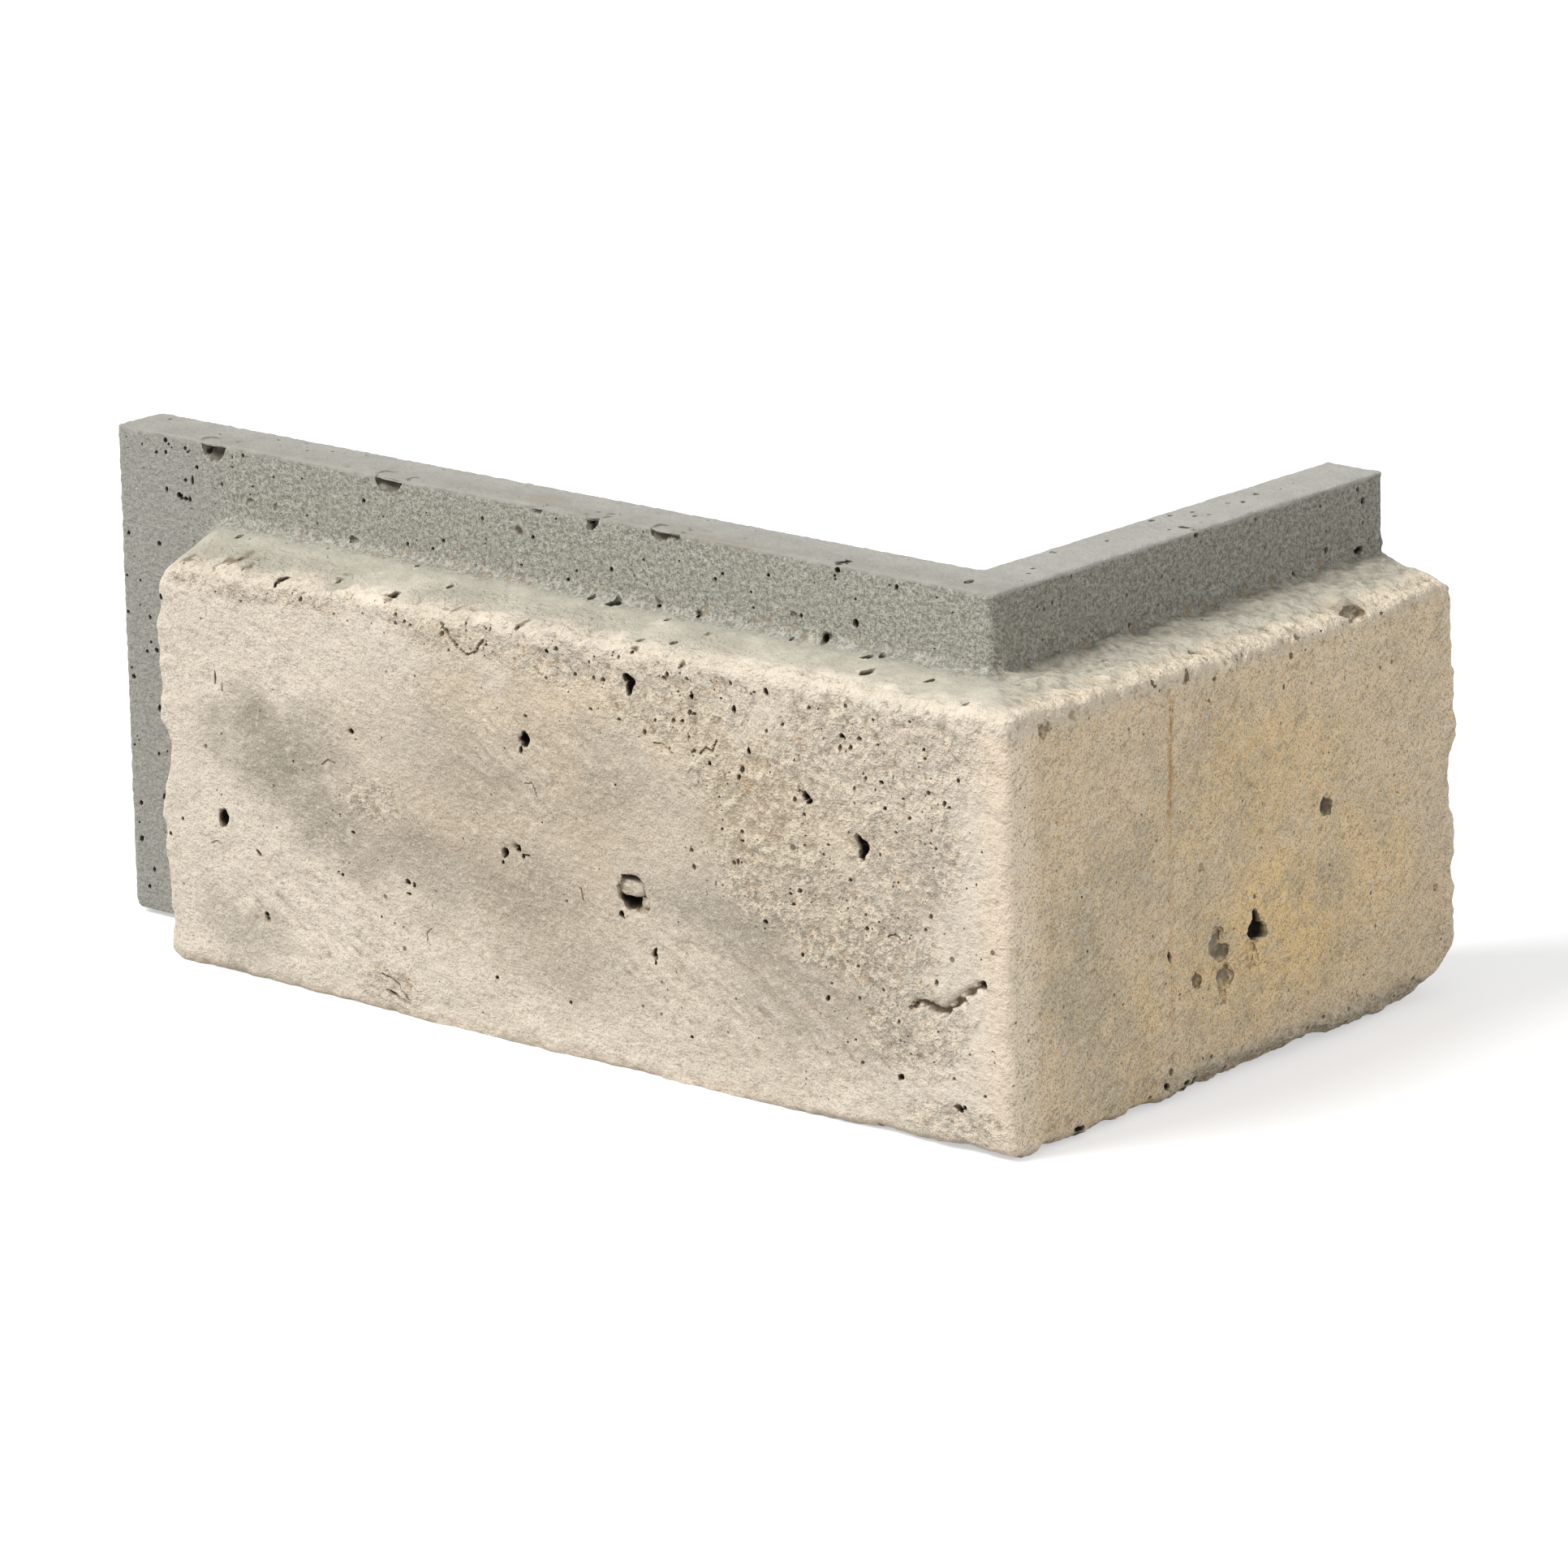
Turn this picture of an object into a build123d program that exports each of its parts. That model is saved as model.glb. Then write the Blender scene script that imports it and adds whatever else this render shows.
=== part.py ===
from build123d import *
import os

os.makedirs("parts", exist_ok=True)

# A concrete corner brick slip, cast in one piece: a thin L-shaped backing slab that laps the
# corner of a wall, with the worn face of a brick standing proud of it. The slab shows as a
# ledge above the brick and past its free end, and the mortar joint is pointed over that ledge.
# The origin is where the slab's two back faces meet, at the foot. The long leg runs towards
# -X with its back to +Y, and the short leg runs towards +Y with its back to -X.

# Backing slab
slab_height = 75.0
slab_thickness = 10.0
long_leg = 159.5
short_leg = 79.0
slab_end_radius = 1.2
slab_foot_wear = 1.5
ledge_radius = 1.4

# Brick
brick_depth = 14.5
top_joint = 11.5
end_joint = 18.9
long_end_fall = 3.4
corner_fall = 0.3
short_end_fall = 2.3
long_end_draft = 2.2
short_end_draft = 0.8
arris_radius = 1.6
long_end_top_radius = 5.0
short_end_top_radius = 2.6

# Wear of each edge: how far it is worn in from its straight line, at even steps along it.
# The ends run from the foot up, and the tops and feet run from the free end to the corner.
long_end_wear = (0.9, 0.6, 0.1, 0.0, 0.5, 2.0, 0.4, 0.3, 0.0, 0.4, 1.6)
long_top_wear = (0.0, 0.3, 0.0, 0.4, 0.1, 0.5, 0.2, 0.5, 0.0)
short_end_wear = (0.4, 0.2, 0.0, 0.1, 0.5, 1.2, 0.9, 0.5, 0.3, 0.6, 0.9)
short_top_wear = (0.0, 0.2, 1.0, 0.5, 0.9, 0.4, 0.7, 0.0)
corner_foot_wear = 0.6
long_foot_wear = (0.8, 0.5, 0.4, 0.2, 0.1, 0.2, 0.1, 0.2, 0.4, corner_foot_wear)
short_foot_wear = (1.0, 0.7, 0.9, 0.5, 0.8, 0.5, corner_foot_wear)

# Air voids that broke open in the faces: distance from the corner's edge along the face,
# height above the foot, radius of the mouth and depth. Each narrows to its floor.
void_floor_share = 0.55
long_face_voids = (
    (69.4, 26.2, 2.4, 2.0),
    (68.0, 24.4, 1.7, 2.6),
    (89.5, 45.0, 1.1, 1.6),
    (150.0, 23.0, 1.1, 1.4),
    (69.0, 57.0, 0.9, 1.4),
    (26.5, 40.0, 1.3, 1.1),
    (36.4, 45.4, 0.8, 0.8),
    (91.5, 28.7, 0.8, 0.8),
    (93.5, 27.6, 0.8, 0.8),
    (65.6, 17.2, 0.7, 0.9),
    (123.5, 40.5, 0.6, 0.8),
    (142.0, 9.4, 0.6, 0.8),
    (113.0, 19.4, 0.7, 0.7),
)
short_face_voids = (
    (54.8, 20.6, 1.1, 2.2),
    (55.1, 19.2, 1.2, 2.4),
    (71.3, 34.3, 1.4, 1.0),
    (46.4, 19.4, 1.7, 0.7),
    (41.9, 16.2, 1.4, 0.6),
    (47.8, 14.0, 1.5, 0.7),
)

# Ragged crack low on the long face by the corner, and a gouge in its top arris: width, depth
# and the points that each runs through
face_cracks = (
    (1.4, 1.2, ((17.7, 19.2), (15.0, 19.7), (12.0, 18.8), (9.9, 20.8), (7.5, 22.6), (5.1, 24.0))),
    (0.8, 0.8, ((105.5, 60.4), (103.5, 58.8), (100.5, 56.6))),
)

# Chips along the slab's top front edge: distance from the corner's edge, length, drop and bite
slab_chips = (
    (163.5, 4.6, 2.8, 1.8),
    (128.3, 5.0, 2.3, 1.8),
    (99.0, 1.8, 1.1, 1.0),
    (88.5, 2.6, 1.8, 1.2),
    (74.5, 5.4, 1.6, 1.4),
)

# Crumbled foot arris of the short face: distance from the corner's edge, height and depth of
# the slant at places along it
foot_break = (
    (33.0, 0.6, 0.5),
    (44.0, 3.2, 2.2),
    (70.0, 2.6, 1.9),
    (106.0, 4.2, 2.8),
)

# Piece broken off the foot of the brick's short end: its reach up, along and back
foot_chip_height = 8.5
foot_chip_length = 5.5
foot_chip_depth = 4.5

shoulder_height = slab_height - top_joint
face_offset = slab_thickness + brick_depth


def worn_edge(start, end, wear, inward):
    """Spline from start to end, worn inward by the given depths at even steps."""
    points = []
    for step, depth in enumerate(wear):
        share = step / (len(wear) - 1)
        points.append(
            Vector(start) + (Vector(end) - Vector(start)) * share + Vector(inward) * depth
        )
    return Spline(*points)


def leg_sections(
    root, outward, end_distance, end_draft, end_fall, end_wear, top_wear, foot_wear
):
    """The straight root of one leg of the brick, on the slab, and its worn face.

    root is the slab's front face, with local x along the wall and local y up, and outward
    is the way from the corner to the leg's free end along local x.
    """
    root_end = outward * end_distance
    root_corner = -outward * slab_thickness
    face_end = outward * (end_distance - end_draft)
    face_corner = -outward * face_offset
    with BuildSketch(root) as root_outline:
        with BuildLine():
            Polyline(
                (root_corner, 0),
                (root_end, 0),
                (root_end, shoulder_height),
                (root_corner, shoulder_height),
                close=True,
            )
        make_face()
    with BuildSketch(root.offset(brick_depth)) as face_outline:
        with BuildLine():
            end_foot = (face_end, foot_wear[0])
            end_top = (face_end, shoulder_height - end_fall)
            corner_top = (face_corner, shoulder_height - corner_fall)
            worn_end = worn_edge(end_foot, end_top, end_wear, (-outward, 0))
            worn_top = worn_edge(worn_end @ 1, corner_top, top_wear, (0, -1))
            foot_start = ((worn_end @ 0).X, 0)
            worn_foot = worn_edge(foot_start, (face_corner, 0), foot_wear, (0, 1))
            Line(worn_top @ 1, worn_foot @ 1)
        make_face()
    return [root_outline.sketch.face(), face_outline.sketch.face()]


def cut_void(face, along, height, mouth_radius, depth):
    """Cuts a round void into a face, at a place in the face's own directions."""
    with Locations(face.offset(-depth)):
        with Locations((along, height)):
            Cone(
                bottom_radius=mouth_radius * void_floor_share,
                top_radius=mouth_radius,
                height=depth,
                align=(Align.CENTER, Align.CENTER, Align.MIN),
                mode=Mode.SUBTRACT,
            )


def foot_slant(along, height, depth):
    """Cross-section of what crumbled off the foot, half as long again each way as its slant."""
    with BuildSketch(Plane.XZ.offset(face_offset - along)) as section:
        with BuildLine():
            Polyline(
                (face_offset - 1.5 * depth, -0.5 * height),
                (face_offset + 0.5 * depth, 1.5 * height),
                (face_offset + 0.5 * depth, -0.5 * height),
                close=True,
            )
        make_face()
    return section.sketch.face()


# The brick's two legs meet in a mitre at the corner
long_root = Plane(origin=(0, -slab_thickness, 0), x_dir=(1, 0, 0), z_dir=(0, -1, 0))
short_root = Plane(origin=(slab_thickness, 0, 0), x_dir=(0, 1, 0), z_dir=(1, 0, 0))
with BuildPart() as brick:
    long_sections = leg_sections(
        long_root,
        -1,
        long_leg - end_joint,
        long_end_draft,
        long_end_fall,
        long_end_wear,
        long_top_wear,
        long_foot_wear,
    )
    loft(long_sections, ruled=True)
    short_sections = leg_sections(
        short_root,
        1,
        short_leg,
        short_end_draft,
        short_end_fall,
        short_end_wear,
        short_top_wear,
        short_foot_wear,
    )
    loft(short_sections, ruled=True)

    # Rounded top corners of the two free ends
    long_end = brick.faces().sort_by(Axis.X)[0]
    fillet(long_end.edges().sort_by(Axis.Z)[-1], long_end_top_radius)
    short_end = brick.faces().sort_by(Axis.Y)[-1]
    fillet(short_end.edges().sort_by(Axis.Z)[-1], short_end_top_radius)

with BuildPart() as brick_slip_corner:
    # Backing slab
    with BuildSketch():
        with BuildLine():
            Polyline(
                (0, 0),
                (0, short_leg),
                (slab_thickness, short_leg),
                (slab_thickness, -slab_thickness),
                (-long_leg, -slab_thickness),
                (-long_leg, 0),
                close=True,
            )
        make_face()
    extrude(amount=slab_height)
    # The slab's foot is worn off at its free end, and its upright edges are eased
    long_slab_end = brick_slip_corner.faces().sort_by(Axis.X)[0]
    chamfer(long_slab_end.edges().filter_by(Axis.Y).sort_by(Axis.Z)[0], slab_foot_wear)
    upright_edges = brick_slip_corner.edges().filter_by(Axis.Z)
    fillet(upright_edges.group_by(Axis.X)[0], slab_end_radius)
    add(brick)

    # The long shoulder runs up into the slab in a soft hollow, which ends in the slab's eased
    # corner. The short shoulder meets the slab sharply.
    long_ledge = brick_slip_corner.faces().filter_by(Axis.Y).sort_by(Axis.Y)[1]
    root_edge = long_ledge.edges().filter_by_position(
        Axis.Z, shoulder_height - 0.01, shoulder_height + 0.01
    )
    ledge_corner = long_ledge.edges().filter_by(Axis.Z).sort_by(Axis.X)[-1]
    fillet(root_edge + [ledge_corner], ledge_radius)

    # Worn arrises all round both faces
    long_front = brick_slip_corner.faces().sort_by(Axis.Y)[0]
    short_front = brick_slip_corner.faces().sort_by(Axis.X)[-1]
    fillet(set(long_front.edges() + short_front.edges()), arris_radius)

    # Voids and cracks in the brick's faces
    long_face = long_root.offset(brick_depth)
    short_face = short_root.offset(brick_depth)
    for along, height, mouth_radius, depth in long_face_voids:
        cut_void(long_face, face_offset - along, height, mouth_radius, depth)
    for along, height, mouth_radius, depth in short_face_voids:
        cut_void(short_face, along - face_offset, height, mouth_radius, depth)
    for width, depth, points in face_cracks:
        with BuildSketch(long_face):
            with BuildLine():
                Polyline(*[(face_offset - along, height) for along, height in points])
            trace(line_width=width)
        extrude(amount=-depth, mode=Mode.SUBTRACT)

    # Chips out of the slab's top edge, each the lower part of a round void
    for along, length, drop, bite in slab_chips:
        chip_radius = (length**2 / 4 + drop**2) / (2 * drop)
        chip_height = slab_height - drop + chip_radius
        cut_void(long_root, face_offset - along, chip_height, chip_radius, bite)

    # Crumbled foot of the short face
    slants = [foot_slant(along, height, depth) for along, height, depth in foot_break]
    loft(slants, ruled=True, mode=Mode.SUBTRACT)

    # Broken foot of the short end: a slanting cut through three points on the three edges
    chip_plane = Plane(
        origin=(face_offset, short_leg - short_end_draft, foot_chip_height),
        z_dir=(1 / foot_chip_depth, 1 / foot_chip_length, -1 / foot_chip_height),
    )
    split(bisect_by=chip_plane, keep=Keep.BOTTOM)

brick_slip_corner.part.label = "brick_slip_corner"
export_step(brick_slip_corner.part, "parts/brick_slip_corner.step")
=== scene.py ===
import random

import bpy
import numpy as np
from mathutils import Matrix, Vector, noise
from mathutils.bvhtree import BVHTree


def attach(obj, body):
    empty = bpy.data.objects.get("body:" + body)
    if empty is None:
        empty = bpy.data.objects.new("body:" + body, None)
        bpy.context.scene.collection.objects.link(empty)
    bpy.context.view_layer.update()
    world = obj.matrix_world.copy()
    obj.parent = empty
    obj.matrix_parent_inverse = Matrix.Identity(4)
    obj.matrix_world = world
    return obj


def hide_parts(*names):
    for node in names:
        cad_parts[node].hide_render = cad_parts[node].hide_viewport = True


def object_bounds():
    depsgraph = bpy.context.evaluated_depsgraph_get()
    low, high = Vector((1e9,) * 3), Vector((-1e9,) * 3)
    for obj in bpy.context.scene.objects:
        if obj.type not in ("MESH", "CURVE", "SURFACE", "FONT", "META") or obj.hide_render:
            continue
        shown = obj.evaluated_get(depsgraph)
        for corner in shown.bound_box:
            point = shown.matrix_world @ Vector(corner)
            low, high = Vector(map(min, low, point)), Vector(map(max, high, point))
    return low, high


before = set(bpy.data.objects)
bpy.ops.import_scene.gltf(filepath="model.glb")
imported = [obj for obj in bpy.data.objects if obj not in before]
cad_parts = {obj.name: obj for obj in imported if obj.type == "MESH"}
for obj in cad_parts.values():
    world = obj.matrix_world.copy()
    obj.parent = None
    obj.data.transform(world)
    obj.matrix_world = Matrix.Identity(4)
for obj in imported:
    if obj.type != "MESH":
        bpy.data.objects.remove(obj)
cad_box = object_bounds()

# Camera. It looks down on the outer corner of the slip from the right of its long face,
# through a long lens, as in the photograph.
camera_turn, camera_height, camera_roll = np.radians((40.904, 15.746, -1.036))
lens_length = 200.3
sensor_width = 36.0
camera_distance = 1.23239
aim_right, aim_up = -0.0288145, 0.0423284

camera_data = bpy.data.cameras.new("camera")
camera_data.lens = lens_length
camera_data.sensor_width = sensor_width
camera_data.clip_start, camera_data.clip_end = 0.01, 30
camera = bpy.data.objects.new("camera", camera_data)
bpy.context.scene.collection.objects.link(camera)
camera_turned = (
    Matrix.Rotation(camera_turn, 4, "Z")
    @ Matrix.Rotation(np.pi / 2 - camera_height, 4, "X")
    @ Matrix.Rotation(camera_roll, 4, "Z")
)
camera.matrix_world = camera_turned @ Matrix.Translation((aim_right, aim_up, camera_distance))
bpy.context.scene.camera = camera
bpy.context.scene.view_settings.view_transform = "Standard"

# The slip is one casting of grey concrete. Its brick face took its uneven skin, its worn
# arrises and its pitted patches from a rubber mould, and was tinted there with cream and
# ochre powders. The slab behind it is bare.
mm = 0.001
lowest, highest = np.round(np.array([list(corner) for corner in cad_box]) / mm, 1).tolist()
slab_end_long = lowest[0]
brick_front = highest[0]
slab_top = highest[2]
slab_front = 10.0
brick_top = 62.5
brick_end_long = -138.3
brick_end_short = 78.0
skin_step = 0.45

cad_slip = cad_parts["brick_slip_corner"]
bpy.ops.object.select_all(action="DESELECT")
slip = bpy.data.objects.new("cast_slip", cad_slip.data.copy())
bpy.context.scene.collection.objects.link(slip)
slip.select_set(True)
bpy.context.view_layer.objects.active = slip
bpy.ops.object.mode_set(mode="EDIT")
bpy.ops.mesh.select_all(action="SELECT")
bpy.ops.mesh.remove_doubles(threshold=0.001 * mm)
bpy.ops.object.mode_set(mode="OBJECT")


def finish_with(kind, **settings):
    """Adds a modifier to the active piece, sets it and applies it."""
    modifier = bpy.context.object.modifiers.new(kind.lower(), kind)
    for name, value in settings.items():
        setattr(modifier, name, value)
    bpy.ops.object.modifier_apply(modifier=modifier.name)


finish_with("REMESH", mode="VOXEL", voxel_size=skin_step * mm)


def places(mesh):
    """Where each vertex is, in millimetres."""
    flat = np.empty(len(mesh.vertices) * 3, np.float32)
    mesh.vertices.foreach_get("co", flat)
    return flat.reshape(-1, 3) / mm


def spots(u, v, ovals):
    """1 in the middle of each oval, 0 from its rim on. Its centre and its reach are u, v each."""
    mask = np.zeros_like(u)
    for centre_u, centre_v, reach_u, reach_v in ovals:
        far = ((u - centre_u) / reach_u) ** 2 + ((v - centre_v) / reach_v) ** 2
        mask = np.maximum(mask, np.clip(1.6 * (1 - far), 0, 1))
    return mask


def paint(name, mask):
    """Paints a vertex group on the slip, in twenty steps."""
    steps = 20
    group = slip.vertex_groups.new(name=name)
    step_here = np.round(mask * steps).astype(int)
    for step in range(1, steps + 1):
        group.add(np.flatnonzero(step_here == step).tolist(), step / steps, "REPLACE")


def fading(distance, full, reach):
    """1 near an edge, 0 away from it: full at the edge, and less by 1 over each reach."""
    return np.clip(full - distance / reach, 0, 1)


# The brick's foot sags below the slab's, most of all on the long side, and its lower corner at
# the long free end is worn round
sag = 1.8
sag_reach = 18
foot_level = -0.8
round_by = 3.8
coordinates = places(slip.data)
x, y, z = coordinates.T
ahead = np.maximum(-slab_front - y, x - slab_front)
sags_here = np.clip(1 - z / sag_reach, 0, 1) * np.clip(ahead / 3, 0, 1)
sags_here = sags_here * np.clip(0.4 + (5 - x) / 50, 0.4, 1)
coordinates[:, 2] = z - sag * sags_here
x, y, z = coordinates.T
past_end = round_by - (x - brick_end_long + 0.15 * (brick_front + y))
past_foot = round_by + foot_level - z
reach = np.hypot(past_end, past_foot)
beyond = (past_end > 0) & (past_foot > 0) & (reach > round_by) & (y < -slab_front - 0.5)
pull = np.where(beyond, 1 - round_by / np.maximum(reach, 0.001), 0)
coordinates[:, 0] += pull * past_end
coordinates[:, 2] += pull * past_foot
# So is the far corner of the short side's foot, where more broke off the face
broken_along, broken_up = 12.5, 9.5
roundness = 1.3
past_end = np.maximum((y - brick_end_short) / broken_along + 1, 0)
past_foot = np.maximum((foot_level - z) / broken_up + 1, 0)
reach = (past_end**roundness + past_foot**roundness) ** (1 / roundness)
pull = np.where(past_end * past_foot > 0, 1 - 1 / np.maximum(reach, 1), 0)
pull *= np.clip((x - slab_front) / 7 - 0.3, 0, 1)
coordinates[:, 1] -= pull * past_end * broken_along
coordinates[:, 2] += pull * past_foot * broken_up
slip.data.vertices.foreach_set("co", (coordinates * mm).ravel())
slip.data.update()

# Where the casting is rough: along its arrises, and in patches of the long face. Each part that
# follows an edge fades with the distance from it.
x, y, z = places(slip.data).T
ahead = np.maximum(-slab_front - y, x - slab_front)
on_long = (-slab_front - y) >= (x - slab_front)
on_brick = np.clip(ahead / 2 - 0.3, 0, 1)
on_slab = np.clip(1.4 - ahead / 3, 0, 1)
on_face = np.clip(ahead - (brick_front - slab_front) + 1.5, 0, 1)
depth_in = brick_front - slab_front - ahead
near_top = np.hypot(depth_in - 1, z - brick_top + 1)
near_foot = np.hypot(depth_in, z)
near_end = np.hypot(depth_in, np.where(on_long, x - brick_end_long, y - brick_end_short))
near_slab_edge = np.minimum(np.hypot(ahead, z - slab_top), np.hypot(x - slab_front, y + slab_front))
near_slab_edge = np.minimum(near_slab_edge, np.hypot(ahead, x - slab_end_long))
near_root = np.hypot(ahead, z - brick_top - 1)
seen_side = np.clip(ahead + 3, 0, 1) + np.clip(z - slab_top + 1, 0, 1)
paint("all over", np.ones_like(x))
paint("bare slab", on_slab * np.clip(seen_side, 0, 1))
paint("slab edge", fading(near_slab_edge, 1.2, 1.5))
paint("brick", on_brick)
paint("top arris", on_brick * on_long * fading(near_top, 1.3, 4))
paint("end arris", on_brick * fading(near_end, 1.2, 3))
paint("short top", on_brick * ~on_long * fading(near_top, 1.4, 3.5))
paint("long foot", on_brick * on_long * fading(near_foot, 1.2, 4))
paint("short foot", on_brick * ~on_long * fading(near_foot, 1.3, 4))
on_shoulder = ~on_long * np.clip(z - brick_top + 4, 0, 1) * np.clip(ahead - 0.5, 0, 1)
paint("short shoulder", on_shoulder * np.clip(y + 12, 0, 1))
paint("short face", on_face * ~on_long * np.clip((y + 18) / 8, 0, 1))
paint("short root", ~on_long * fading(near_root, 1.3, 2.5) * (y > -9))
paint("hidden", np.clip(1 - seen_side, 0, 1))

rough_patches = (
    (-36, 56, 18, 9),
    (-19, 46, 20, 9),
    (-16, 33, 16, 9),
    (2, 55, 24, 9),
    (6, 42, 14, 12),
    (-60, 59, 20, 6),
    (-82, 60, 12, 5),
    (-118, 60, 26, 4),
    (-2, 27, 18, 9),
    (8, 16, 12, 9),
    (-95, 31, 7, 4),
    (-92, 3, 9, 4),
    (14, 3, 12, 4),
)
paint("rough", on_face * on_long * spots(x, z, rough_patches))
creased_patches = (
    (-28, 15, 24, 11),
    (-2, 12, 20, 12),
    (-62, 42, 20, 9),
    (-104, 12, 22, 9),
)
paint("creased", on_face * on_long * spots(x, z, creased_patches))


def roughen(group, size, height, detail, stretch=(1, 1, 1), turn=0, middle=0.5):
    """Pushes the painted skin in and out by a noise of that size and height, in millimetres."""
    texture = bpy.data.textures.new(group, "CLOUDS")
    texture.noise_scale = size
    texture.noise_depth = detail
    grid = bpy.data.objects.new("noise grid", None)
    bpy.context.scene.collection.objects.link(grid)
    grid.scale = Vector(stretch) * mm
    grid.rotation_euler.y = np.radians(turn)
    bpy.context.view_layer.update()
    finish_with(
        "DISPLACE",
        texture=texture,
        texture_coords="OBJECT",
        texture_coords_object=grid,
        strength=height * mm,
        mid_level=middle,
        vertex_group=group,
    )
    bpy.data.objects.remove(grid)


roughen("brick", 17, 0.8, 1)
roughen("brick", 5, 0.35, 2)
roughen("top arris", 6, 1.6, 2)
roughen("top arris", 2.4, 1.1, 2)
roughen("end arris", 5, 1.5, 2)
roughen("end arris", 2, 0.5, 1)
roughen("short top", 1.3, 1.0, 2, stretch=(3.5, 1, 2.2))
roughen("short top", 4.5, 1.5, 1)
roughen("short shoulder", 4, 1.0, 2)
roughen("short face", 3.0, 0.5, 2, stretch=(1, 1.6, 1))
roughen("short face", 1.2, 0.22, 1)
roughen("short shoulder", 1.6, 0.4, 1)
roughen("short root", 5, 2.2, 2, middle=0.35)
roughen("long foot", 8, 1.0, 2)
roughen("long foot", 2.2, 0.6, 2)
roughen("short foot", 8, 2.4, 3)
roughen("short foot", 1.8, 0.7, 2)
roughen("rough", 3.4, 1.0, 2)
roughen("rough", 1.2, 0.4, 1)
roughen("creased", 1.5, 0.8, 1, stretch=(3.2, 1, 1), turn=32)
roughen("slab edge", 1.4, 0.35, 1)
roughen("bare slab", 1.0, 0.20, 0)
roughen("all over", 1.3, 0.07, 1)

# No part of it dips below the surface that it stands on
coordinates = places(slip.data)
coordinates[:, 2] = np.maximum(coordinates[:, 2], np.where(ahead > 0.3, foot_level, 0))
slip.data.vertices.foreach_set("co", (coordinates * mm).ravel())
slip.data.update()


def triangle_count():
    """How many triangles the slip has."""
    return sum(len(face.vertices) - 2 for face in slip.data.polygons)


hidden_share = 0.62
triangles_before_voids = 122000
finish_with("DECIMATE", ratio=hidden_share, vertex_group="hidden")
finish_with("DECIMATE", ratio=triangles_before_voids / triangle_count())

# The faces that voids open in: which way is along them, which is in, and which is up
views = {
    "long": (Vector((1, 0, 0)), Vector((0, 1, 0)), Vector((0, 0, 1))),
    "short": (Vector((0, 1, 0)), Vector((-1, 0, 0)), Vector((0, 0, 1))),
    "above": (Vector((1, 0, 0)), Vector((0, 0, -1)), Vector((0, 1, 0))),
}
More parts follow.
